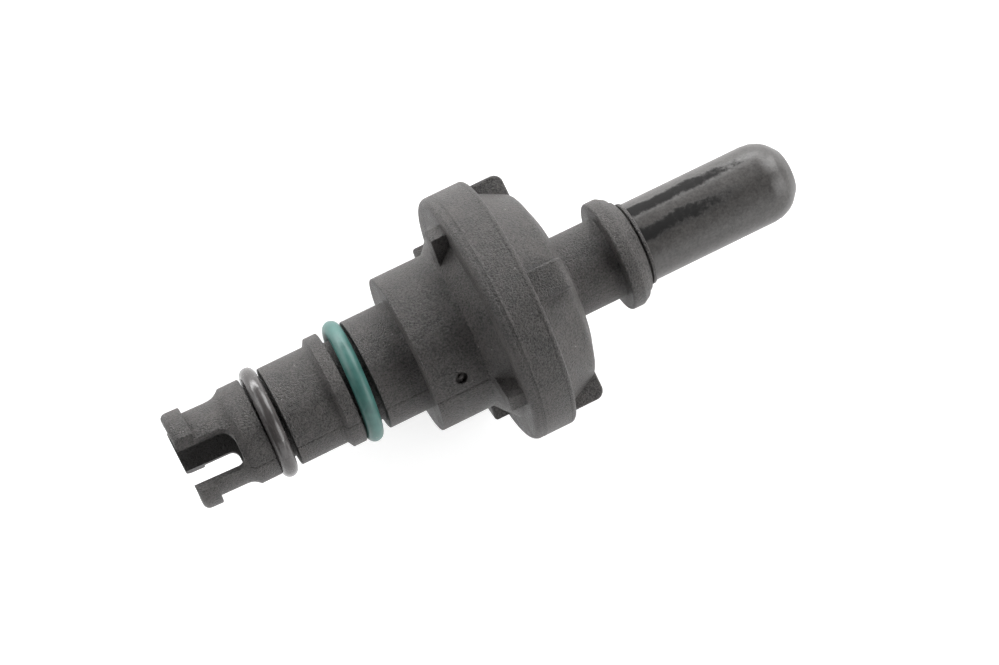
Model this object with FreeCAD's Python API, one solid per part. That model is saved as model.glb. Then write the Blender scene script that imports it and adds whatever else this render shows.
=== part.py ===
import FreeCAD, Part
import math
import os

# Crankcase ventilation valve, in mm. X runs along the axis towards the hose nipple.
# X = 0 is the shoulder face that sits on the engine cover. The port spigot is on the -X side,
# and its places are depths below that face.

# Snap prongs on the tip
tip_x = -27.66
lip_step_x = -25.33
lip_r = 5.90
lip_lead = 0.75
prong_r = 5.09
prong_bore_r = 4.20
prong_half_width = 2.34
slot_half_width = 2.52
slot_end_x = -21.37
slot_round_wide = 1.40
slot_round_tight = 0.90
prong_turn = 45.0
web_behind_slots = 0.30

# Port spigot with its two ring grooves
collar_x0 = -20.59
collar_r = 5.78
flare_start_x = -21.75
tip_groove_x0 = -18.13
tip_groove_x1 = -15.70
tip_groove_r = 4.70
neck_r = 5.865
ridge_foot_x = -10.08
ridge_x0 = -9.64
ridge_r = 6.61
main_groove_x0 = -8.11
main_groove_x1 = -5.13
main_groove_r = 5.27
root_r = 6.525
inlet_bore_r = 3.20

# Shoulder, flange and gussets of the body
shoulder_r = 9.36
shoulder_end_x = 6.46
flange_x = 8.65
rim_r = 14.94
rim_round = 0.85
flange_land = 2.99
flange_cone_r = rim_r - flange_land
joint_x = 10.00
gusset_angles = (40.0, 140.0, 220.0, 320.0)
gusset_x = 6.80
gusset_setback = 1.54
gusset_r = rim_r - gusset_setback
gusset_width = 2.30
gusset_round = 0.40
root_overlap = 0.60

# Dimple with a raised dot on the shoulder
dimple_x = 3.48
dimple_turn = 124.0
dimple_r = 0.72
dimple_depth = 0.35
dot_r = 0.26
dot_height = 0.22

# Chamber with its raised seat
shoulder_wall = 2.06
chamber_r = shoulder_r - shoulder_wall
chamber_floor_x = 1.80
seat_height = 0.60
seat_x = chamber_floor_x + seat_height
seat_rim = 1.10
seat_r = inlet_bore_r + seat_rim

# Outlet cap: rim, dome and ribs
cap_rim_width = 4.50
cap_rim_end_x = joint_x + cap_rim_width
cap_rim_round = 0.95
dome_setback = 1.64
dome_foot_r = rim_r - dome_setback
dome_length = 4.05
dome_knee_x = cap_rim_end_x + dome_length
dome_draft = 2.01
dome_knee_r = dome_foot_r - dome_draft
crown_length = 1.00
dome_top_x = dome_knee_x + crown_length
crown_width = 2.79
dome_top_r = dome_knee_r - crown_width
dome_wall = 1.89
dome_bore_r = dome_knee_r - dome_wall
end_wall = 2.35
end_wall_x = dome_top_x - end_wall
rib_setback = 0.98
rib_r = rim_r - rib_setback
rib_width = 3.60
rib_end_x = dome_knee_x - 0.05
rib_round = 0.90
rib_angles = (0.0, 90.0, 180.0, 270.0)

# Stem, hose bead, lip ring and nipple
stem_r = 4.83
stem_foot = 0.60
stem_x = dome_top_x + stem_foot
stem_length = 5.20
bead_x0 = stem_x + stem_length
bead_land = 1.50
bead_x1 = bead_x0 + bead_land
bead_r = 6.585
bead_mid_x = bead_x1 + 0.90
bead_mid_r = bead_r - 0.535
lip_gap_r = 4.66
lip_ring_x0 = bead_mid_x + 0.77
lip_ring_width = 0.56
lip_ring_x1 = lip_ring_x0 + lip_ring_width
lip_ring_r = 4.98
nipple_r = 4.745
nipple_length = 16.67
nipple_round_x = lip_ring_x1 + nipple_length
nipple_mid_x = nipple_round_x + 1.55
nipple_mid_r = nipple_r - 0.815
nipple_end_x = nipple_mid_x + 1.18
nipple_end_r = nipple_r - 2.425
outlet_bore_r = 2.00

# Metering ring, pressed into its pocket in the cap's end wall
ring_length = 1.70
ring_pocket_r = 4.60
ring_pocket_x = end_wall_x + ring_length
ring_fit = 0.01
orifice_r = 2.30

# Metering plunger, sliding in the chamber
seat_gap = 0.02
disc_r = 5.40
disc_thick = 1.40
lug_count = 4
lug_width = 2.20
lug_length = 2.20
lug_gap = 0.08
lug_root = 0.90
spring_spigot_r = 2.85
spring_spigot_length = 1.50
pintle_r = 1.70
pintle_taper_length = 4.60
pintle_end_r = 0.85
pintle_reach = 0.70
pintle_end_x = ring_pocket_x + pintle_reach
pintle_taper_x = pintle_end_x - pintle_taper_length

# Return spring round the pintle, from the plunger's disc to the metering ring
spring_wire_r = 0.30
spring_radial_gap = 0.30
spring_mean_r = spring_spigot_r + spring_radial_gap + spring_wire_r
spring_turns = 6.5
spring_gap = 0.02
spring_steps = 12
spring_sides = 5

# Seal rings, each lying a little askew in its groove
seal_fit = 0.03
small_cord_r = 0.90
small_ring_shift = -0.145
small_ring_lean = 1.4
large_cord_r = 0.96
large_ring_shift = -0.035
large_ring_lean = 3.0
seal_sides = 8

# A round is made of flats that touch its arc, at most about this many radians apart
round_step = math.radians(46.0)

AXIS = FreeCAD.Vector(1, 0, 0)
ORIGIN = FreeCAD.Vector(0, 0, 0)


def point(x, r):
    return FreeCAD.Vector(x, r, 0)


def flats_at(before, corner, after, radius):
    # The corners of the flats that stand for a round at a corner of a profile.
    back = (before - corner).normalize()
    ahead = (after - corner).normalize()
    half = back.getAngle(ahead) / 2.0
    centre = corner + (back + ahead).normalize() * (radius / math.sin(half))
    start = corner + back * (radius / math.tan(half)) - centre
    stop = corner + ahead * (radius / math.tan(half)) - centre
    side = start.cross(stop).normalize().cross(start)
    sweep = math.pi - 2.0 * half
    steps = math.ceil(sweep / round_step)
    points = []
    for i in range(steps):
        angle = sweep * (i + 0.5) / steps
        spoke = start * math.cos(angle) + side * math.sin(angle)
        points.append(centre + spoke / math.cos(sweep / 2.0 / steps))
    return points


def profile(corners):
    # A closed face from (x, r, corner radius) entries, with each round made of short flats.
    spots = [point(c[0], c[1]) for c in corners]
    outline = []
    for i in range(len(spots)):
        radius = corners[i][2]
        if radius > 0:
            outline += flats_at(spots[i - 1], spots[i], spots[(i + 1) % len(spots)], radius)
        else:
            outline.append(spots[i])
    outline.append(outline[0])
    return Part.Face(Part.makePolygon(outline))


def turned(corners):
    # A solid of revolution about the X axis.
    return profile(corners).revolve(ORIGIN, AXIS, 360)


def turn(shape, degrees):
    # Turns a shape about the X axis, from +Y towards +Z.
    copy = shape.copy()
    copy.rotate(ORIGIN, AXIS, degrees)
    return copy


def web(outline, width, degrees):
    # A flat web of (x, r, corner radius) outline, standing on the axis at an angle.
    plate = profile(outline).extrude(FreeCAD.Vector(0, 0, width))
    plate.translate(FreeCAD.Vector(0, 0, -width / 2.0))
    return turn(plate, degrees)


def slot_plate(low, high, round_low, round_high, degrees):
    # A thick plate past the tip, from low to high, whose two inner corners can be rounded.
    start_x = tip_x - web_behind_slots
    outline = (
        (start_x, low, 0.0),
        (slot_end_x, low, round_low),
        (slot_end_x, high, round_high),
        (start_x, high, 0.0),
    )
    return web(outline, 6.0 * lip_r, degrees)


def prong_slots():
    # Three open slots between the prongs, one on each side and one underneath.
    far = lip_r + 2.0
    wide = slot_round_wide
    tight = slot_round_tight
    above = slot_plate(0.0, far, tight, 0.0, 0.0)
    below = slot_plate(-far, 0.0, 0.0, 0.0, 0.0)
    right = above.common(slot_plate(prong_half_width, far, wide, 0.0, 90.0))
    left = above.common(slot_plate(-far, -prong_half_width, 0.0, wide, 90.0))
    under = below.common(slot_plate(-slot_half_width, slot_half_width, tight, tight, 90.0))
    return [turn(s, prong_turn) for s in (right, left, under)]


def gussets():
    outline = (
        (gusset_x, shoulder_r - root_overlap, 0.0),
        (gusset_x, gusset_r, gusset_round),
        (flange_x + root_overlap, gusset_r, 0.0),
        (flange_x + root_overlap, shoulder_r - root_overlap, 0.0),
    )
    return [web(outline, gusset_width, a) for a in gusset_angles]


def dimple():
    # The round pit and the dot left standing on its floor.
    foot = FreeCAD.Vector(dimple_x, shoulder_r - dimple_depth, 0)
    out = FreeCAD.Vector(0, 1, 0)
    pit = Part.makeCylinder(dimple_r, 2.0 * dimple_depth, foot, out)
    dot = Part.makeCylinder(dot_r, dot_height, foot, out)
    return turn(pit.cut(dot), dimple_turn)


def make_valve_body():
    body = turned((
        (tip_x, prong_bore_r, 0.0),
        (tip_x, lip_r, lip_lead),
        (lip_step_x, lip_r, 0.0),
        (lip_step_x, prong_r, 0.0),
        (flare_start_x, prong_r, 0.0),
        (collar_x0, collar_r, 0.0),
        (tip_groove_x0, collar_r, 0.0),
        (tip_groove_x0, tip_groove_r, 0.0),
        (tip_groove_x1, tip_groove_r, 0.0),
        (tip_groove_x1, neck_r, 0.0),
        (ridge_foot_x, neck_r, 0.0),
        (ridge_x0, ridge_r, 0.0),
        (main_groove_x0, ridge_r, 0.0),
        (main_groove_x0, main_groove_r, 0.0),
        (main_groove_x1, main_groove_r, 0.0),
        (main_groove_x1, root_r, 0.0),
        (0.0, root_r, 0.0),
        (0.0, shoulder_r, 0.0),
        (shoulder_end_x, shoulder_r, 0.0),
        (flange_x, flange_cone_r, 0.0),
        (flange_x, rim_r, rim_round),
        (joint_x, rim_r, 0.0),
        (joint_x, chamber_r, 0.0),
        (chamber_floor_x, chamber_r, 0.0),
        (chamber_floor_x, seat_r, 0.0),
        (seat_x, seat_r, 0.0),
        (seat_x, inlet_bore_r, 0.0),
        (slot_end_x + web_behind_slots, inlet_bore_r, 0.0),
        (slot_end_x + web_behind_slots, prong_bore_r, 0.0),
    ))
    for g in gussets():
        body = body.fuse(g)
    for s in prong_slots():
        body = body.cut(s)
    return body.cut(dimple()).removeSplitter()


def cap_ribs():
    foot_r = dome_knee_r - root_overlap
    outline = (
        (cap_rim_end_x - root_overlap, foot_r, 0.0),
        (cap_rim_end_x - root_overlap, rib_r, 0.0),
        (rib_end_x, rib_r, rib_round),
        (rib_end_x, foot_r, 0.0),
    )
    return [web(outline, rib_width, a) for a in rib_angles]


def make_outlet_cap():
    cap = turned((
        (joint_x, rim_r, 0.0),
        (cap_rim_end_x, rim_r, cap_rim_round),
        (cap_rim_end_x, dome_foot_r, 0.0),
        (dome_knee_x, dome_knee_r, 0.0),
        (dome_top_x, dome_top_r, 0.0),
        (stem_x, stem_r, 0.0),
        (bead_x0, stem_r, 0.0),
        (bead_x0, bead_r, 0.0),
        (bead_x1, bead_r, 0.0),
        (bead_mid_x, bead_mid_r, 0.0),
        (lip_ring_x0, lip_gap_r, 0.0),
        (lip_ring_x0, lip_ring_r, 0.0),
        (lip_ring_x1, lip_ring_r, 0.0),
        (lip_ring_x1, nipple_r, 0.0),
        (nipple_round_x, nipple_r, 0.0),
        (nipple_mid_x, nipple_mid_r, 0.0),
        (nipple_end_x, nipple_end_r, 0.0),
        (nipple_end_x, outlet_bore_r, 0.0),
        (ring_pocket_x, outlet_bore_r, 0.0),
        (ring_pocket_x, ring_pocket_r, 0.0),
        (end_wall_x, ring_pocket_r, 0.0),
        (end_wall_x, dome_bore_r, 0.0),
        (joint_x, dome_bore_r, 0.0),
    ))
    for r in cap_ribs():
        cap = cap.fuse(r)
    return cap.removeSplitter()


def make_metering_ring():
    return turned((
        (end_wall_x, orifice_r, 0.0),
        (end_wall_x, ring_pocket_r - ring_fit, 0.0),
        (ring_pocket_x, ring_pocket_r - ring_fit, 0.0),
        (ring_pocket_x, orifice_r, 0.0),
    ))


def make_plunger():
    face_x = seat_x + seat_gap
    back_x = face_x + disc_thick
    plunger = turned((
        (face_x, 0.0, 0.0),
        (face_x, disc_r, 0.0),
        (back_x, disc_r, 0.0),
        (back_x, spring_spigot_r, 0.0),
        (back_x + spring_spigot_length, spring_spigot_r, 0.0),
        (back_x + spring_spigot_length, pintle_r, 0.0),
        (pintle_taper_x, pintle_r, 0.0),
        (pintle_end_x, pintle_end_r, 0.0),
        (pintle_end_x, 0.0, 0.0),
    ))
    lug_r = chamber_r - lug_gap
    blank = Part.makeCylinder(lug_r, lug_length, FreeCAD.Vector(face_x, 0, 0), AXIS)
    inner = Part.makeCylinder(disc_r - lug_root, lug_length, FreeCAD.Vector(face_x, 0, 0), AXIS)
    tube = blank.cut(inner)
    for i in range(lug_count):
        corner = FreeCAD.Vector(face_x, 0, -lug_width / 2.0)
        bar = Part.makeBox(lug_length, chamber_r, lug_width, corner)
        plunger = plunger.fuse(tube.common(turn(bar, 45.0 + 360.0 * i / lug_count)))
    return plunger.removeSplitter()


def make_spring():
    # One open coil, standing between the plunger's disc and the metering ring.
    low_x = seat_x + seat_gap + disc_thick + spring_gap + spring_wire_r
    high_x = end_wall_x - spring_gap - spring_wire_r
    count = int(spring_turns * spring_steps)
    sections = []
    for i in range(count + 1):
        middle = point(low_x + (high_x - low_x) * i / count, spring_mean_r)
        section = Part.makePolygon(round_section(middle, spring_wire_r, spring_sides))
        section.rotate(ORIGIN, AXIS, 360.0 * i / spring_steps)
        sections.append(section)
    return Part.makeLoft(sections, True, True)


def round_section(middle, radius, sides):
    # The closed outline of a round cord or wire, with a flat side towards the axis.
    points = []
    for i in range(sides + 1):
        angle = 2 * math.pi * (i + 0.5) / sides
        points.append(middle + point(radius * math.sin(angle), radius * math.cos(angle)))
    return points


def make_seal_ring(groove_x0, groove_x1, groove_r, cord_r, shift, lean):
    # A rubber ring round the floor of its groove, a little off the middle and askew.
    middle = point(0.0, groove_r + seal_fit + cord_r)
    outline = Part.makePolygon(round_section(middle, cord_r, seal_sides))
    ring = Part.Face(outline).revolve(ORIGIN, AXIS, 360)
    ring.rotate(ORIGIN, FreeCAD.Vector(0, 0, 1), -lean)
    ring.translate(FreeCAD.Vector((groove_x0 + groove_x1) / 2.0 + shift, 0, 0))
    return ring


def make_small_seal_ring():
    return make_seal_ring(
        tip_groove_x0, tip_groove_x1, tip_groove_r, small_cord_r, small_ring_shift, small_ring_lean
    )


def make_large_seal_ring():
    return make_seal_ring(
        main_groove_x0, main_groove_x1, main_groove_r, large_cord_r, large_ring_shift, large_ring_lean
    )


def save(shape, name):
    if shape.ShapeType == "Compound" and len(shape.Solids) == 1:
        shape = shape.Solids[0]
    shape.exportStep("parts/" + name + ".step")


os.makedirs("parts", exist_ok=True)
save(make_valve_body(), "valve_body")
save(make_outlet_cap(), "outlet_cap")
save(make_metering_ring(), "metering_ring")
save(make_plunger(), "metering_plunger")
save(make_spring(), "return_spring")
save(make_small_seal_ring(), "small_seal_ring")
save(make_large_seal_ring(), "large_seal_ring")
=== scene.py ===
import bmesh
import bpy
import math
from mathutils import Matrix, Vector


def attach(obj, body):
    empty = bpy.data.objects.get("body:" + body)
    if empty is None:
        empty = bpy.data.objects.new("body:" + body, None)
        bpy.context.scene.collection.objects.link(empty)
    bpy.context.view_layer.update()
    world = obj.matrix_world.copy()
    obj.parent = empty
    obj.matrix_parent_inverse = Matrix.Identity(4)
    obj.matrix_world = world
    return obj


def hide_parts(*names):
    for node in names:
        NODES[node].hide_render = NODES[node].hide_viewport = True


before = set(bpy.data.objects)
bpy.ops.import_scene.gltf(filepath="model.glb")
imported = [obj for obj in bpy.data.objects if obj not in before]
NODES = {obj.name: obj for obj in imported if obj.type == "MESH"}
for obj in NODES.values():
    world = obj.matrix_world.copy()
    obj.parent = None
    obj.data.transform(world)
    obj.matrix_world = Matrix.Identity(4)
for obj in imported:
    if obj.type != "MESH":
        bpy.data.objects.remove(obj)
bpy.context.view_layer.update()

# Crankcase ventilation valve. Sizes are in mm and become metres in each mesh.
# X is the valve's axis, +Y is up in the picture and +Z comes towards the camera.
MM = 0.001

# Camera: the spot on the axis that it looks at, its reach and drop, and its focal length in pixels
LOOK_AT_X = 10.58
CAMERA_REACH = 302.85
CAMERA_DROP = 2.288
CAMERA_NEAR_TURN = 8.3
CAMERA_LEAN = 2.0
CAMERA_ROLL = 26.0
FOCAL_PIXELS = 2700.0
PICTURE_WIDTH = 999.0
SENSOR_WIDTH = 36.0

# Snap prongs
TIP_X = -27.66
LIP_STEP_X = -25.33
LIP_R = 5.90
PRONG_R = 5.09
PRONG_ROOT_X = -21.40
PRONG_ROOT_ROUND = 1.60
PRONG_BORE_R = 4.45
PRONG_HALF_WIDTH = 2.52
LOWER_PRONG_RISE = 0.5
UNDER_SLOT_HALF_ANGLE = 34.5
SLOT_END_X = -21.37
SLOT_ROUND_WIDE = 1.40
SLOT_ROUND_TIGHT = 0.90
PRONG_TURN = 43.0
SLOT_REACH = LIP_R + 2.0
BORE_STEP_X = SLOT_END_X + 0.30
PRONG_LIFT = 0.20
PRONG_SHORT = 0.12

# Spigot and shoulder
COLLAR_X = -20.59
COLLAR_R = 5.78
TIP_GROOVE = (-18.13, -15.70)
TIP_GROOVE_R = 4.70
NECK_R = 5.865
RIDGE_FOOT_X = -10.08
RIDGE_X = -9.64
RIDGE_R = 6.61
MAIN_GROOVE = (-8.11, -5.13)
MAIN_GROOVE_R = 5.27
ROOT_R = 6.525
SHOULDER_R = 9.36
SHOULDER_END_X = 6.46
INLET_BORE_R = 3.20
INLET_SEAT_R = 4.30
INLET_SEAT_DEPTH = 0.60
CHAMBER_R = 7.30
CHAMBER_FLOOR_X = 1.80

# Flange, rim and gussets
FLANGE_X = 8.65
FLANGE_CONE_R = 11.95
RIM_R = 14.938
RIM_SIDE_R = RIM_R - 0.02
JOINT_X = 10.00
WELD_HALF = 0.05
BODY_RIM_LINE = (9.54, 9.57, 9.62)
HAIRLINE_DEPTH = 0.04
GUSSET_ANGLES = (40.0, 140.0, 220.0, 320.0)
GUSSET_X = 6.80
GUSSET_R = 13.40
GUSSET_WIDTH = 2.30
DIMPLE_X = 3.48
DIMPLE_TURN = 124.0
DIMPLE_R = 0.72
DIMPLE_DEPTH = 0.48
CIRCLE_POINTS = 32
DOT_R = 0.26
DOT_HEIGHT = 0.32

# Outlet cap
CAP_RIM_END_X = 13.90
CAP_RIM_LINES = ((10.28, 10.31, 10.36), (13.20, 13.24, 13.28))
DOME_FOOT_R = 13.30
DOME_KNEE = (18.05, 11.29)
DOME_TOP = (19.05, 8.50)
CAP_LEAN = 0.15
DOME_BORE_R = 9.40
END_WALL_X = 17.20
RING_SEAT_R = 4.60
RING_SEAT_DEPTH = 1.70
RIB_R = 13.88
RIB_HALF_WIDTH = 1.80
RIB_END_X = 18.15
RIB_ROUND = 1.10
STEM_X = 19.65
STEM_R = 4.83
BEAD_X = (25.35, 26.85)
BEAD_R = 6.585
BEAD_CONE_END = (27.75, 6.05)
BEAD_STEP = (27.83, 5.685)
BEAD_FOOT = (28.30, 5.465)
LIP_RING_X = (28.74, 29.14)
LIP_RING_R = 4.98
LIP_RING_FOOT_R = 4.66
NIPPLE_R = 4.745
NIPPLE_NOSE_X = 45.75
NIPPLE_CHEEK = (47.25, 3.93)
NIPPLE_FACE_R = 2.50
NIPPLE_END_X = 48.48
OUTLET_BORE_R = 2.00

# Seal rings: middle, radius to the cord's middle, cord radius and lean of each
SMALL_RING = (-17.06, 5.65, 0.92, 1.4)
LARGE_RING = (-6.655, 6.26, 0.96, 3.0)

# Columns of the turned pieces, and the parting lines on the body
COLUMNS = 120
SEAM_TURNS = (135.0, 315.0)
SEAM_HALF = 0.8
SEAM_DEPTH = 0.11
RING_STEPS = 160
CORD_STEPS = 32
PANEL_REACH = 0.60
WORLD_LEVEL = 0.0

# Finishes: linear colours, and the grain's relief in mm
NYLON_DARK = (0.0065, 0.0055, 0.0052)
NYLON_LIGHT = (0.0740, 0.0680, 0.0650)
NYLON_SPECK = (0.42, 0.41, 0.39)
# Painted shade: near-black colour painted on the prongs' inner faces, where the bore lies in shadow
BORE_SHADE_BLACK = (0.0075, 0.0060, 0.0052)
NIPPLE_DARK = (0.026, 0.024, 0.023)
NIPPLE_LIGHT = (0.070, 0.066, 0.063)
FILM_BLACK = (0.0035, 0.0032, 0.0032)
GREY_RUBBER = ((0.026, 0.023, 0.023), (0.066, 0.061, 0.060))
GREEN_RUBBER = ((0.026, 0.090, 0.080), (0.054, 0.152, 0.136))
BRASS = ((0.60, 0.42, 0.18), (0.76, 0.58, 0.30))
ACETAL = ((0.62, 0.60, 0.54), (0.74, 0.72, 0.67))
STEEL = ((0.42, 0.42, 0.43), (0.60, 0.60, 0.60))
GRAIN_DEPTH = 0.170
UPPER_FILM_TURNS = (36.0, 58.0)
LOWER_FILM_TURNS = (74.0, 98.0)
FILM_WANDER = 12.0
FLOOR_MIDDLE_X = 10.0
FLOOR_Z = -15.0
FLOOR_WIDTH = 3.0
FLOOR_COLOUR = (0.90, 0.90, 0.90)
FLOOR_GLOW_SEEN = 0.42
FLOOR_GLOW_MIRRORED = 0.60

# Soft panels: name, turn from +Y towards +Z, tilt towards +X, length, width, and the light of each
PANELS = (
    ("skirting", 4.0, 0.0, 0.9, 0.10, 16.0),
    ("low_up", 12.0, 0.0, 0.9, 0.20, 1.6),
    ("down", 150.0, 0.0, 0.9, 0.22, 1.3),
    ("low_down", 168.0, 0.0, 0.9, 0.20, 2.4),
    ("left", 40.0, -50.0, 0.4, 0.40, 3.5),
    ("right_up", 40.0, 50.0, 0.4, 0.40, 7.5),
    ("right_down", 130.0, 50.0, 0.4, 0.40, 5.0),
)


def camera():
    """The photograph's view: straight down on the valve, which points a little towards the lens."""
    near = math.radians(CAMERA_NEAR_TURN)
    lean = math.radians(CAMERA_LEAN)
    roll = math.radians(CAMERA_ROLL)
    up = Vector((0, math.cos(lean), math.sin(lean)))
    front = Vector((0, -math.sin(lean), math.cos(lean)))
    axis = Vector((1, 0, 0))
    right = math.cos(near) * axis + math.sin(near) * front
    look = math.sin(near) * axis - math.cos(near) * front
    place = Vector((LOOK_AT_X, 0, 0)) - CAMERA_REACH * look - CAMERA_DROP * up
    image_right = math.cos(roll) * right - math.sin(roll) * up
    image_up = math.sin(roll) * right + math.cos(roll) * up
    data = bpy.data.cameras.new("camera")
    data.sensor_width = SENSOR_WIDTH
    data.lens = SENSOR_WIDTH * FOCAL_PIXELS / PICTURE_WIDTH
    data.clip_start = 0.01
    data.clip_end = 10.0
    cam = bpy.data.objects.new("camera", data)
    bpy.context.scene.collection.objects.link(cam)
    pose = Matrix((image_right, image_up, -look)).transposed().to_4x4()
    pose.translation = place * MM
    cam.matrix_world = pose
    bpy.context.scene.camera = cam


def rounded(corners, step=18.0):
    """The points of a closed outline of (x, r, radius) corners, with each round as an arc."""
    points = []
    for i, (x, r, radius) in enumerate(corners):
        corner = Vector((x, r))
        if radius == 0:
            points.append(corner)
            continue
        back = (Vector(corners[i - 1][:2]) - corner).normalized()
        ahead = (Vector(corners[(i + 1) % len(corners)][:2]) - corner).normalized()
        half = back.angle(ahead) / 2.0
        centre = corner + (back + ahead).normalized() * (radius / math.sin(half))
        start = corner + back * (radius / math.tan(half)) - centre
        stop = corner + ahead * (radius / math.tan(half)) - centre
        sweep = start.angle_signed(stop)
        count = max(2, math.ceil(abs(math.degrees(sweep)) / step))
        for k in range(count + 1):
            turn = Matrix.Rotation(-sweep * k / count, 2)
            points.append(centre + turn @ start)
    return points


def column_turns():
    """The angles of a turned piece's columns, with three at each parting line for its hairline."""
    turns = [360.0 * i / COLUMNS for i in range(COLUMNS)]
    for seam in SEAM_TURNS:
        turns = [t for t in turns if abs(t - seam) > 1.5 * SEAM_HALF]
        turns += [seam - SEAM_HALF, seam, seam + SEAM_HALF]
    return sorted(turns)


def link(name, bm):
    bmesh.ops.recalc_face_normals(bm, faces=bm.faces)
    mesh = bpy.data.meshes.new(name)
    bm.to_mesh(mesh)
    bm.free()
    obj = bpy.data.objects.new(name, mesh)
    bpy.context.scene.collection.objects.link(obj)
    return obj


def skin(bm, loops, closed):
    """Faces between rows of points, each row joined to the next and, if closed, the last to the first."""
    rows = [[bm.verts.new(p * MM) for p in loop] for loop in loops]
    pairs = list(zip(rows, rows[1:]))
    if closed:
        pairs.append((rows[-1], rows[0]))
    for a, b in pairs:
        for i in range(len(a)):
            k = (i + 1) % len(a)
            bm.faces.new((a[i], a[k], b[k], b[i]))
    return rows


def turned(name, corners, seam_to=None):
    """A solid of revolution about X. Its parting lines run along the outside as far as x = seam_to."""
    outline = rounded(corners)
    turns = column_turns()
    loops = []
    for p in outline:
        loop = []
        for t in turns:
            r = p.y
            if seam_to is not None and t in SEAM_TURNS and BORE_STEP_X < p.x < seam_to and r > PRONG_BORE_R:
                r -= SEAM_DEPTH
            loop.append(Vector((p.x, r * math.cos(math.radians(t)), r * math.sin(math.radians(t)))))
        loops.append(loop)
    bm = bmesh.new()
    skin(bm, loops, closed=True)
    return link(name, bm)


def prism(name, outline, low, high, degrees):
    """A plate of (x, y) outline from z = low to z = high, turned about X from +Y towards +Z."""
    spin = Matrix.Rotation(math.radians(degrees), 3, "X")
    bm = bmesh.new()
    loops = [[spin @ Vector((p.x, p.y, z)) for p in outline] for z in (low, high)]
    rows = skin(bm, loops, closed=False)
    for row in rows:
        bm.faces.new(row)
    return link(name, bm)


def joined(target, tool, operation):
    """Cuts, keeps or adds a tool piece, and deletes it."""
    mod = target.modifiers.new("cut", "BOOLEAN")
    mod.operation = operation
    mod.solver = "EXACT"
    mod.object = tool
    graph = bpy.context.evaluated_depsgraph_get()
    mesh = bpy.data.meshes.new_from_object(target.evaluated_get(graph))
    target.modifiers.clear()
    old = target.data
    target.data = mesh
    bpy.data.meshes.remove(old)
    bpy.data.meshes.remove(tool.data)
    return target


def slot_plate(low, high, round_low, round_high, degrees):
    start = TIP_X - 0.3
    outline = rounded((
        (start, low, 0.0),
        (SLOT_END_X, low, round_low),
        (SLOT_END_X, high, round_high),
        (start, high, 0.0),
    ), step=10.0)
    return prism("slot", outline, -3.0 * LIP_R, 3.0 * LIP_R, PRONG_TURN + degrees)


def prong_slots():
    """Two slots beside the upper prong, and a wedge between the two lower ones."""
    wide = SLOT_ROUND_WIDE
    tight = SLOT_ROUND_TIGHT
    far = SLOT_REACH
    swing = 90.0 - UNDER_SLOT_HALF_ANGLE
    pairs = (
        ((0.0, far, tight, 0.0, -LOWER_PRONG_RISE), (PRONG_HALF_WIDTH, far, wide, 0.0, 90.0)),
        ((0.0, far, tight, 0.0, LOWER_PRONG_RISE), (-far, -PRONG_HALF_WIDTH, 0.0, wide, 90.0)),
        ((-far, 0.0, 0.0, tight, swing), (-far, 0.0, 0.0, tight, -swing)),
    )
    return [joined(slot_plate(*a), slot_plate(*b), "INTERSECT") for a, b in pairs]


def ease(obj, low_x, high_x, width, angle=35.0, segments=2):
    """Breaks the sharp edges between two places along the axis, and shades the piece."""
    bm = bmesh.new()
    bm.from_mesh(obj.data)
    bmesh.ops.remove_doubles(bm, verts=bm.verts, dist=0.004 * MM)
    if width > 0:
        edges = []
        for e in bm.edges:
            if not e.is_manifold or e.calc_face_angle(0.0) < math.radians(angle):
                continue
            xs = [v.co.x / MM for v in e.verts]
            if low_x < min(xs) and max(xs) < high_x:
                edges.append(e)
        bmesh.ops.bevel(
            bm, geom=edges, offset=width * MM, offset_type="OFFSET", segments=segments, profile=0.5,
            affect="EDGES", clamp_overlap=True,
        )
    bm.to_mesh(obj.data)
    bm.free()
    shade(obj)


def shade(obj, angle=32.0):
    obj.data.shade_smooth()
    obj.data.set_sharp_from_angle(angle=math.radians(angle))
    mod = obj.modifiers.new("normals", "WEIGHTED_NORMAL")
    mod.keep_sharp = True
    mod.weight = 60


def hairline(places):
    """A fine groove round the rim, from its start, middle and end along the axis."""
    start, middle, end = places
    return (start, RIM_SIDE_R, 0.0), (middle, RIM_SIDE_R - HAIRLINE_DEPTH, 0.0), (end, RIM_SIDE_R, 0.0)


def gusset(turn):
    outline = rounded((
        (GUSSET_X, SHOULDER_R - 0.6, 0.0),
        (GUSSET_X, GUSSET_R, 0.40),
        (FLANGE_X + 0.6, GUSSET_R, 0.0),
        (FLANGE_X + 0.6, SHOULDER_R - 0.6, 0.0),
    ))
    web = prism("gusset", outline, -GUSSET_WIDTH / 2, GUSSET_WIDTH / 2, turn)
    ease(web, 0.0, RIM_R, 0.16)
    return web


def dimple():
    """The round pit in the shoulder, less the dot that stands on its floor."""
    floor_r = SHOULDER_R - DIMPLE_DEPTH
    turns = [math.tau * i / CIRCLE_POINTS for i in range(CIRCLE_POINTS)]
    spots = [(math.cos(a), math.sin(a)) for a in turns]
    pit_line = [Vector((DIMPLE_X + DIMPLE_R * c, DIMPLE_R * s)) for c, s in spots]
    dot_line = [Vector((DIMPLE_X + DOT_R * c, DOT_R * s)) for c, s in spots]
    pit = prism("pit", pit_line, floor_r, SHOULDER_R + 1.0, DIMPLE_TURN - 90.0)
    dot = prism("dot", dot_line, floor_r - 0.5, floor_r + DOT_HEIGHT, DIMPLE_TURN - 90.0)
    ease(dot, 0.0, RIM_R, 0.10)
    return joined(pit, dot, "DIFFERENCE")


def settle_prongs(body):
    """The prongs have crept: they bend up a little, and the lower ones end a little short."""
    for v in body.data.vertices:
        past = (SLOT_END_X - v.co.x / MM) / (SLOT_END_X - TIP_X)
        if past > 0.0:
            v.co.y += PRONG_LIFT * past ** 1.5 * MM
            v.co.x += PRONG_SHORT * past ** 2 * (1.0 - v.co.y / MM / LIP_R) * MM


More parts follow.
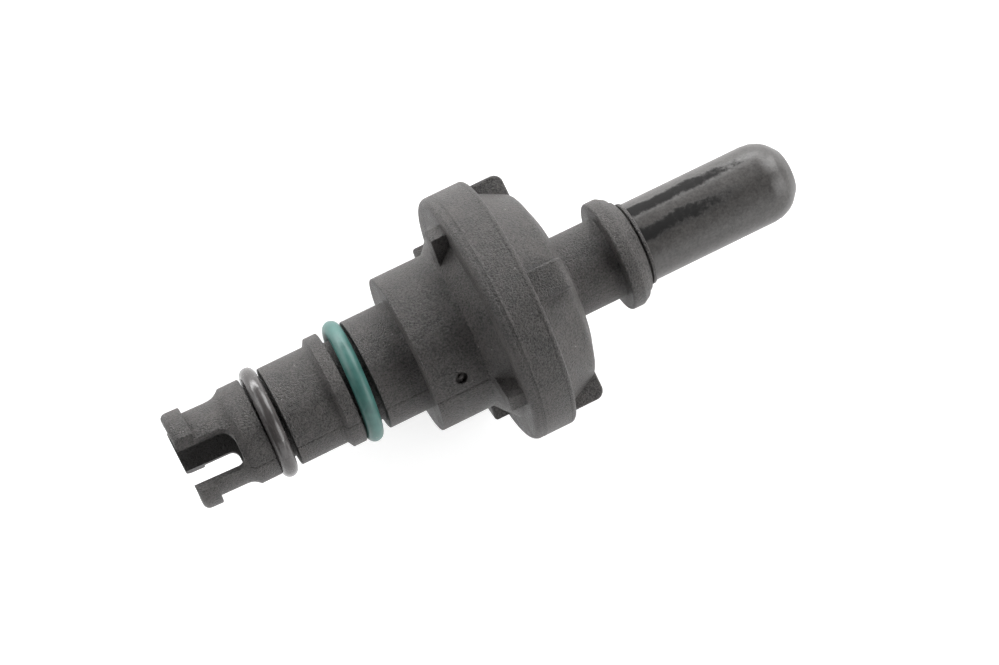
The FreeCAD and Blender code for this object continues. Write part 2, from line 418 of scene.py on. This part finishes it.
def valve_body():
    body = turned("body_moulding", (
        (TIP_X, PRONG_BORE_R, 0.0),
        (TIP_X, LIP_R, 0.75),
        (LIP_STEP_X, LIP_R, 0.18),
        (LIP_STEP_X, PRONG_R, 0.0),
        (PRONG_ROOT_X, PRONG_R, PRONG_ROOT_ROUND),
        (COLLAR_X, COLLAR_R, 0.0),
        (TIP_GROOVE[0], COLLAR_R, 0.10),
        (TIP_GROOVE[0], TIP_GROOVE_R, 0.0),
        (TIP_GROOVE[1], TIP_GROOVE_R, 0.0),
        (TIP_GROOVE[1], NECK_R, 0.10),
        (RIDGE_FOOT_X, NECK_R, 0.0),
        (RIDGE_X, RIDGE_R, 0.08),
        (MAIN_GROOVE[0], RIDGE_R, 0.10),
        (MAIN_GROOVE[0], MAIN_GROOVE_R, 0.0),
        (MAIN_GROOVE[1], MAIN_GROOVE_R, 0.0),
        (MAIN_GROOVE[1], ROOT_R, 0.10),
        (0.0, ROOT_R, 0.12),
        (0.0, SHOULDER_R, 0.12),
        (SHOULDER_END_X, SHOULDER_R, 0.15),
        (FLANGE_X, FLANGE_CONE_R, 0.30),
        (FLANGE_X, RIM_SIDE_R, 0.85),
        *hairline(BODY_RIM_LINE),
        (JOINT_X - WELD_HALF, RIM_R - WELD_HALF, 0.0),
        (JOINT_X, RIM_R, 0.0),
        (JOINT_X, CHAMBER_R, 0.0),
        (CHAMBER_FLOOR_X, CHAMBER_R, 0.0),
        (CHAMBER_FLOOR_X, INLET_SEAT_R, 0.0),
        (CHAMBER_FLOOR_X + INLET_SEAT_DEPTH, INLET_SEAT_R, 0.0),
        (CHAMBER_FLOOR_X + INLET_SEAT_DEPTH, INLET_BORE_R, 0.0),
        (BORE_STEP_X, INLET_BORE_R, 0.0),
        (BORE_STEP_X, PRONG_BORE_R, 0.0),
    ), seam_to=SHOULDER_END_X)
    for cut in prong_slots():
        joined(body, cut, "DIFFERENCE")
    for turn in GUSSET_ANGLES:
        joined(body, gusset(turn), "UNION")
    joined(body, dimple(), "DIFFERENCE")
    ease(body, TIP_X - 1.0, SLOT_END_X + 0.2, 0.08)
    settle_prongs(body)
    return body


def rib(turn):
    """One of the cap's four ribs, with its long outer edges rounded."""
    outline = rounded((
        (CAP_RIM_END_X - 0.6, DOME_KNEE[1] - 0.6, 0.0),
        (CAP_RIM_END_X - 0.6, RIB_R, 0.0),
        (RIB_END_X, RIB_R, RIB_ROUND),
        (RIB_END_X, DOME_KNEE[1] - 0.6, 0.0),
    ), step=12.0)
    web = prism("rib", outline, -RIB_HALF_WIDTH, RIB_HALF_WIDTH, turn)
    ease(web, 0.0, NIPPLE_END_X, 0.28, segments=3)
    return web


def settle_cap(cap):
    """The cap has warped: from the joint to the bead its upper side sits a little nearer the nipple."""
    for v in cap.data.vertices:
        past_joint = (v.co.x / MM - JOINT_X - 0.6) / 2.0
        before_bead = (BEAD_X[0] - v.co.x / MM) / 5.0
        share = min(1.0, max(0.0, past_joint)) * min(1.0, max(0.0, before_bead))
        v.co.x += CAP_LEAN * share * v.co.y / RIM_R


def outlet_cap():
    cap = turned("cap_moulding", (
        (JOINT_X, RIM_R, 0.0),
        (JOINT_X + WELD_HALF, RIM_R - WELD_HALF, 0.0),
        *hairline(CAP_RIM_LINES[0]),
        *hairline(CAP_RIM_LINES[1]),
        (CAP_RIM_END_X, RIM_SIDE_R, 0.40),
        (CAP_RIM_END_X, DOME_FOOT_R, 0.0),
        (*DOME_KNEE, 1.40),
        (*DOME_TOP, 1.60),
        (STEM_X, STEM_R, 0.40),
        (BEAD_X[0], STEM_R, 0.12),
        (BEAD_X[0], BEAD_R, 0.30),
        (BEAD_X[1], BEAD_R, 0.45),
        (*BEAD_CONE_END, 0.25),
        (*BEAD_STEP, 0.0),
        (*BEAD_FOOT, 0.20),
        (LIP_RING_X[0] - 0.10, LIP_RING_FOOT_R, 0.0),
        (LIP_RING_X[0], LIP_RING_FOOT_R, 0.0),
        (LIP_RING_X[0], LIP_RING_R, 0.10),
        (LIP_RING_X[1], LIP_RING_R, 0.10),
        (LIP_RING_X[1], NIPPLE_R, 0.0),
        (NIPPLE_NOSE_X, NIPPLE_R, 4.00),
        (*NIPPLE_CHEEK, 3.20),
        (NIPPLE_END_X, NIPPLE_FACE_R, 1.10),
        (NIPPLE_END_X, OUTLET_BORE_R, 0.08),
        (END_WALL_X + RING_SEAT_DEPTH, OUTLET_BORE_R, 0.0),
        (END_WALL_X + RING_SEAT_DEPTH, RING_SEAT_R, 0.0),
        (END_WALL_X, RING_SEAT_R, 0.0),
        (END_WALL_X, DOME_BORE_R, 0.0),
        (JOINT_X, DOME_BORE_R, 0.0),
    ))
    for turn in (0.0, 90.0, 180.0, 270.0):
        joined(cap, rib(turn), "UNION")
    ease(cap, CAP_RIM_END_X + 0.02, RIB_END_X + 0.02, 0.16)
    settle_cap(cap)
    return cap


def seal_ring(name, middle, ring_r, cord_r, lean):
    """A rubber ring that leans a little in its groove."""
    tilt = Matrix.Rotation(math.radians(-lean), 3, "Z")
    loops = []
    for i in range(RING_STEPS):
        turn = Matrix.Rotation(math.tau * i / RING_STEPS, 3, "X")
        loop = []
        for k in range(CORD_STEPS):
            a = math.tau * k / CORD_STEPS
            spot = Vector((cord_r * math.sin(a), ring_r + cord_r * math.cos(a), 0.0))
            loop.append(tilt @ turn @ spot + Vector((middle, 0.0, 0.0)))
        loops.append(loop)
    bm = bmesh.new()
    skin(bm, loops, closed=True)
    ring = link(name, bm)
    ring.data.shade_smooth()
    return ring


camera()
body = valve_body()
cap = outlet_cap()
small_ring = seal_ring("small_ring", *SMALL_RING)
large_ring = seal_ring("large_ring", *LARGE_RING)
for piece, node, slot in (
    (body, "valve_body", "body_nylon"),
    (cap, "outlet_cap", "cap_nylon"),
    (small_ring, "small_seal_ring", "grey_rubber"),
    (large_ring, "large_seal_ring", "green_rubber"),
):
    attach(piece, "housing")
    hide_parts(node)


def node(tree, kind, inputs=(), **settings):
    """A shader node with its settings and inputs; an input is a value or another node's output."""
    made = tree.nodes.new("ShaderNode" + kind)
    for key, value in settings.items():
        setattr(made, key, value)
    for key, value in dict(inputs).items():
        if isinstance(value, bpy.types.NodeSocket):
            tree.links.new(value, made.inputs[key])
        else:
            made.inputs[key].default_value = value
    return made


def noise(tree, spots, size, detail=2.0, rough=0.5):
    """Noise whose features are about size mm across."""
    values = {"Vector": spots, "Scale": 1.0 / (size * MM), "Detail": detail, "Roughness": rough}
    return node(tree, "TexNoise", values).outputs["Fac"]


def cells(tree, spots, size, feature="F1"):
    values = {"Vector": spots, "Scale": 1.0 / (size * MM)}
    return node(tree, "TexVoronoi", values, feature=feature)


def step(tree, value, low, high, out_low=0.0, out_high=1.0):
    """A smooth change from out_low to out_high as the value goes from low to high."""
    values = {"Value": value, "From Min": low, "From Max": high, "To Min": out_low, "To Max": out_high}
    return node(tree, "MapRange", values, interpolation_type="SMOOTHSTEP").outputs["Result"]


def maths(tree, operation, a, b=0.0):
    return node(tree, "Math", {0: a, 1: b}, operation=operation, use_clamp=False).outputs[0]


def blend(tree, share, a, b):
    made = node(tree, "Mix", data_type="RGBA")
    for socket, value in ((made.inputs[0], share), (made.inputs[6], a), (made.inputs[7], b)):
        if isinstance(value, bpy.types.NodeSocket):
            tree.links.new(value, socket)
        elif isinstance(value, tuple):
            socket.default_value = (*value, 1.0)
        else:
            socket.default_value = value
    return made.outputs[2]


def bump(tree, height, depth, strength=1.0):
    """Relief of about depth mm."""
    made = node(tree, "Bump", {"Height": height, "Distance": depth * MM, "Strength": strength})
    return made.outputs["Normal"]


def surface(name):
    """A new material: its tree, its shader, and the place of each spot in the piece's own frame."""
    m = bpy.data.materials.new(name)
    m.use_nodes = True
    tree = m.node_tree
    spots = node(tree, "TexCoord").outputs["Object"]
    return m, tree, tree.nodes["Principled BSDF"], spots


def grain(tree, spots):
    """The moulded grain: its height, of fine cracks between soft pebbles, and the pebbles alone."""
    warp = node(tree, "TexNoise", {"Vector": spots, "Scale": 2600.0, "Detail": 2.0}).outputs["Color"]
    shift = node(tree, "VectorMath", {0: warp, 3: 0.00022}, operation="SCALE").outputs[0]
    warped = node(tree, "VectorMath", {0: spots, 1: shift}, operation="ADD").outputs[0]
    crack = step(tree, cells(tree, warped, 0.34, "DISTANCE_TO_EDGE").outputs["Distance"], 0.0, 0.16)
    pebble = noise(tree, spots, 0.22, 4.0, 0.62)
    height = maths(tree, "ADD", maths(tree, "MULTIPLY", crack, 0.35), pebble)
    return height, pebble


def specks(tree, spots, size, share):
    """Sparse pale specks: the middles of a few cells picked by their random value."""
    cell = cells(tree, spots, size)
    near = step(tree, cell.outputs["Distance"], 0.10, 0.22, 1.0, 0.0)
    pick = node(tree, "SeparateColor", {"Color": cell.outputs["Color"]}).outputs[0]
    chosen = step(tree, pick, 1.0 - share, 1.0 - share + 0.01)
    return maths(tree, "MULTIPLY", near, chosen)


def bore_painted_shade(tree, place, along):
    """Painted shade: a mask on the inner faces of the prongs, where the bore lies in shadow."""
    squares = [maths(tree, "POWER", part, 2.0) for part in place[1:3]]
    reach = maths(tree, "SQRT", maths(tree, "ADD", *squares))
    inner = step(tree, reach, (PRONG_BORE_R + 0.02) * MM, (PRONG_BORE_R + 0.16) * MM, 1.0, 0.0)
    return maths(tree, "MULTIPLY", inner, step(tree, along, BORE_STEP_X, BORE_STEP_X + 0.2, 1.0, 0.0))


def nylon(name, smooth_from=None):
    """Dark glass-filled nylon with moulded grain; past smooth_from it is the smooth, stained nipple."""
    m, tree, shader, spots = surface(name)
    height, pebble = grain(tree, spots)
    patches = noise(tree, spots, 2.4, 3.0, 0.6)
    tone = step(tree, maths(tree, "ADD", pebble, maths(tree, "MULTIPLY", patches, 0.45)), 0.50, 0.92)
    colour = blend(tree, tone, NYLON_DARK, NYLON_LIGHT)
    dust = step(tree, patches, 0.35, 0.75, 0.15, 0.75)
    dusty = maths(tree, "MULTIPLY", dust, specks(tree, spots, 0.50, 0.035))
    colour = blend(tree, dusty, colour, NYLON_SPECK)
    place = node(tree, "SeparateXYZ", {0: spots}).outputs
    along = maths(tree, "MULTIPLY", place[0], 1.0 / MM)
    # Painted shade: on the body, the inner faces of the prongs are darkened to near black because the bore
    # is in shadow
    if smooth_from is None:
        colour = blend(tree, bore_painted_shade(tree, place, along), colour, BORE_SHADE_BLACK)
    wear = maths(tree, "ADD", patches, maths(tree, "MULTIPLY", pebble, 0.4))
    gloss = step(tree, wear, 0.4, 1.0, 0.40, 0.62)
    normal = bump(tree, height, GRAIN_DEPTH, 0.9)
    if smooth_from is not None:
        turn = maths(tree, "MULTIPLY", maths(tree, "ARCTAN2", place[2], place[1]), 180.0 / math.pi)
        smooth = step(tree, along, smooth_from, smooth_from + 0.1)
        film, film_colour, film_gloss = stains(tree, spots, along, turn)
        colour = blend(tree, smooth, colour, film_colour)
        gloss = blend(tree, smooth, gloss, film_gloss)
        fine = maths(tree, "ADD", noise(tree, spots, 0.5, 3.0), maths(tree, "MULTIPLY", film, -0.10))
        shallow = maths(tree, "MULTIPLY", fine, 0.16)
        level = node(tree, "Mix", {0: smooth, 2: height, 3: shallow}, data_type="FLOAT")
        normal = bump(tree, level.outputs[0], GRAIN_DEPTH, 0.9)
    tree.links.new(colour, shader.inputs["Base Color"])
    tree.links.new(gloss, shader.inputs["Roughness"])
    tree.links.new(normal, shader.inputs["Normal"])
    return m


def window(tree, value, low, high, soft):
    """One between low and high, with soft sides."""
    rise = step(tree, value, low - soft, low + soft)
    fall = step(tree, value, high - soft, high + soft, 1.0, 0.0)
    return maths(tree, "MULTIPLY", rise, fall)


def stains(tree, spots, along, turn):
    """The nipple's black film in two smeared patches, over smooth greyer plastic."""
    ragged = noise(tree, spots, 1.3, 5.0, 0.65)
    wide = noise(tree, spots, 4.0, 2.0)
    wander = maths(tree, "MULTIPLY", maths(tree, "SUBTRACT", wide, 0.5), FILM_WANDER)
    angle = maths(tree, "ADD", turn, wander)
    upper_fade = step(tree, along, 35.0, 47.0, 1.0, 0.30)
    lower_fade = step(tree, along, 33.0, 46.0, 1.0, 0.20)
    upper = maths(tree, "MULTIPLY", window(tree, angle, *UPPER_FILM_TURNS, 8.0), upper_fade)
    lower = maths(tree, "MULTIPLY", window(tree, angle, *LOWER_FILM_TURNS, 10.0), lower_fade)
    both = maths(tree, "MAXIMUM", upper, lower)
    crumbs = noise(tree, spots, 0.5, 4.0, 0.7)
    broken = maths(tree, "ADD", ragged, maths(tree, "MULTIPLY", crumbs, 0.8))
    film = step(tree, maths(tree, "ADD", both, broken), 1.15, 1.85)
    haze = noise(tree, spots, 0.30, 4.0, 0.7)
    cloud = maths(tree, "ADD", maths(tree, "MULTIPLY", ragged, 0.6), haze)
    bare = blend(tree, step(tree, cloud, 0.5, 1.1), NIPPLE_DARK, NIPPLE_LIGHT)
    colour = blend(tree, film, bare, FILM_BLACK)
    gloss = step(tree, film, 0.0, 1.0, 0.40, 0.95)
    return film, colour, gloss


def rubber(name, dark, light, gloss, streak):
    """A moulded rubber ring: slight mottling, fine scuffs along it and a few pale specks of dust."""
    m, tree, shader, spots = surface(name)
    patches = noise(tree, spots, 1.6, 3.0, 0.6)
    fine = noise(tree, spots, 0.12, 3.0, 0.6)
    stretched = node(tree, "VectorMath", {0: spots, 1: (1.0, 0.12, 0.12)}, operation="MULTIPLY").outputs[0]
    scuff = noise(tree, stretched, 0.16, 3.0, 0.7)
    tone = step(tree, maths(tree, "ADD", patches, maths(tree, "MULTIPLY", scuff, streak)), 0.3, 1.0)
    colour = blend(tree, tone, dark, light)
    colour = blend(tree, maths(tree, "MULTIPLY", specks(tree, spots, 0.6, 0.04), 0.4), colour, NYLON_SPECK)
    wear = maths(tree, "ADD", patches, maths(tree, "MULTIPLY", scuff, 0.5))
    rough = step(tree, wear, 0.4, 1.1, gloss, gloss + 0.16)
    height = maths(tree, "ADD", maths(tree, "MULTIPLY", fine, 0.5), scuff)
    tree.links.new(colour, shader.inputs["Base Color"])
    tree.links.new(rough, shader.inputs["Roughness"])
    tree.links.new(bump(tree, height, 0.012, 0.6), shader.inputs["Normal"])
    return m


def inner_finish(name, dark, light, metallic, rough_low, rough_high, size):
    """The hidden parts: turned or moulded, with fine lines round the axis."""
    m, tree, shader, spots = surface(name)
    shader.inputs["Metallic"].default_value = metallic
    stretched = node(tree, "VectorMath", {0: spots, 1: (1.0, 0.1, 0.1)}, operation="MULTIPLY").outputs[0]
    lines = noise(tree, stretched, size, 3.0, 0.6)
    patches = noise(tree, spots, 6.0 * size, 2.0)
    tree.links.new(blend(tree, patches, dark, light), shader.inputs["Base Color"])
    tree.links.new(step(tree, lines, 0.3, 0.7, rough_low, rough_high), shader.inputs["Roughness"])
    tree.links.new(bump(tree, lines, 0.01, 0.5), shader.inputs["Normal"])
    return m


FINISHES = {
    "valve_body": nylon("body_nylon"),
    "outlet_cap": nylon("cap_nylon", smooth_from=LIP_RING_X[1]),
    "small_seal_ring": rubber("grey_rubber", *GREY_RUBBER, 0.17, 0.7),
    "large_seal_ring": rubber("green_rubber", *GREEN_RUBBER, 0.34, 0.4),
    "metering_ring": inner_finish("ring_brass", *BRASS, 1.0, 0.2, 0.4, 0.10),
    "metering_plunger": inner_finish("plunger_acetal", *ACETAL, 0.0, 0.3, 0.5, 0.14),
    "return_spring": inner_finish("spring_steel", *STEEL, 1.0, 0.2, 0.36, 0.08),
}
TWINS = {"valve_body": body, "outlet_cap": cap, "small_seal_ring": small_ring, "large_seal_ring": large_ring}
for name, mat in FINISHES.items():
    for piece in {NODES[name], TWINS.get(name, NODES[name])}:
        piece.data.materials.clear()
        piece.data.materials.append(mat)


def floor_paper():
    """White paper that the camera and reflections see as pure white, less the valve's shadow."""
    m = bpy.data.materials.new("floor_paper")
    m.use_nodes = True
    tree = m.node_tree
    paper = tree.nodes["Principled BSDF"]
    paper.inputs["Base Color"].default_value = (*FLOOR_COLOUR, 1)
    paper.inputs["Roughness"].default_value = 0.9
    paper.inputs["Specular IOR Level"].default_value = 0.1
    path = tree.nodes.new("ShaderNodeLightPath")
    seen = tree.nodes.new("ShaderNodeMath")
    seen.operation = "MULTIPLY_ADD"
    seen.inputs[1].default_value = FLOOR_GLOW_SEEN
    mirrored = tree.nodes.new("ShaderNodeMath")
    mirrored.operation = "MULTIPLY"
    mirrored.inputs[1].default_value = FLOOR_GLOW_MIRRORED
    glow = tree.nodes.new("ShaderNodeEmission")
    both = tree.nodes.new("ShaderNodeAddShader")
    tree.links.new(path.outputs["Is Glossy Ray"], mirrored.inputs[0])
    tree.links.new(path.outputs["Is Camera Ray"], seen.inputs[0])
    tree.links.new(mirrored.outputs[0], seen.inputs[2])
    tree.links.new(seen.outputs[0], glow.inputs["Strength"])
    tree.links.new(paper.outputs[0], both.inputs[0])
    tree.links.new(glow.outputs[0], both.inputs[1])
    tree.links.new(both.outputs[0], tree.nodes["Material Output"].inputs["Surface"])
    return m


bpy.ops.mesh.primitive_plane_add(size=FLOOR_WIDTH, location=(FLOOR_MIDDLE_X * MM, 0, FLOOR_Z * MM))
floor = bpy.context.object
floor.name = "floor"
floor.data.materials.append(floor_paper())


def panel(name, turn, tilt, length, width, radiance):
    """A soft panel at PANEL_REACH from the valve, at an angle about X from +Y and a tilt towards +X."""
    spot = Vector((
        math.sin(math.radians(tilt)),
        math.cos(math.radians(tilt)) * math.cos(math.radians(turn)),
        math.cos(math.radians(tilt)) * math.sin(math.radians(turn)),
    ))
    aim = Matrix.Rotation(math.radians(turn - 90.0), 4, "X") @ Matrix.Rotation(math.radians(tilt), 4, "Y")
    data = bpy.data.lights.new(name, "AREA")
    data.shape = "RECTANGLE"
    data.size = length
    data.size_y = width
    data.energy = radiance * math.pi * length * width
    light = bpy.data.objects.new(name, data)
    bpy.context.scene.collection.objects.link(light)
    light.matrix_world = Matrix.Translation(spot * PANEL_REACH) @ aim


for values in PANELS:
    panel(*values)

world = bpy.data.worlds.new("studio")
world.use_nodes = True
world.node_tree.nodes["Background"].inputs["Color"].default_value = (1, 1, 1, 1)
world.node_tree.nodes["Background"].inputs["Strength"].default_value = WORLD_LEVEL
bpy.context.scene.world = world
bpy.context.scene.view_settings.view_transform = "Standard"
